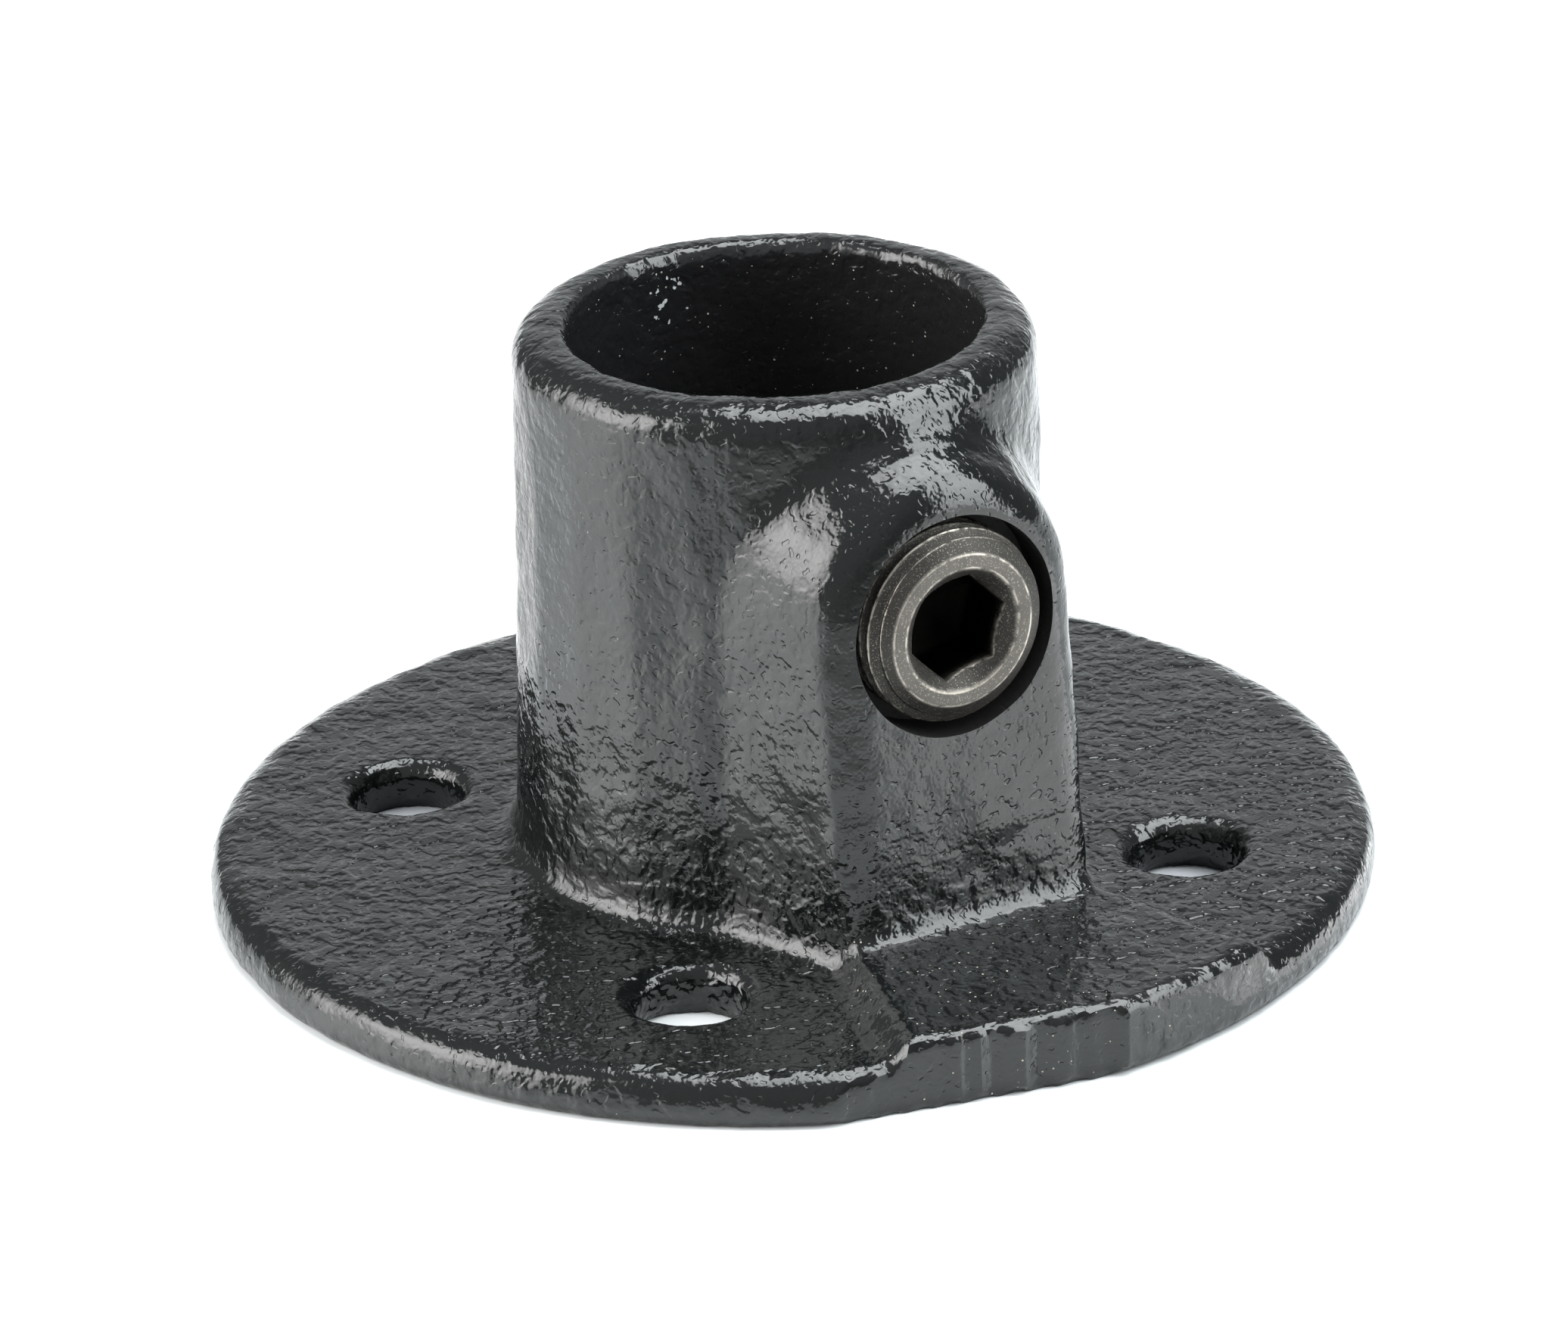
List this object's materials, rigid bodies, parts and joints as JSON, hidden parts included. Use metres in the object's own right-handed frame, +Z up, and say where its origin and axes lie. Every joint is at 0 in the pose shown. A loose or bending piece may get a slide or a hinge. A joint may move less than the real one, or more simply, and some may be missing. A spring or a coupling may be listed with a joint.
{
  "type": "tube clamp base flange",
  "caption": "Round cast base flange that stands a steel tube upright in its collar and grips it with a hexagon-socket set screw.",
  "frame": {"origin": "centre of the flange's underside, on the axis of the tube bore and of the bolt circle", "axes": "+Z up along the tube, away from the surface it is bolted to; -Y out of the boss, along the set screw"},
  "size_m": [0.1, 0.1, 0.0505],
  "materials": {
    "black_coated_iron": "gloss black coating over as-cast iron",
    "bare_steel": "bare turned steel, dull"
  },
  "bodies": {
    "casting": {"base_casting": "black_coated_iron"},
    "screw": {"set_screw": "bare_steel"}
  },
  "joints": [
    {"name": "set_screw_travel", "type": "slide", "parent": "casting", "child": "screw", "axis": [0, -1, 0], "range_m": [-0.00134, 0.00401]}
  ]
}
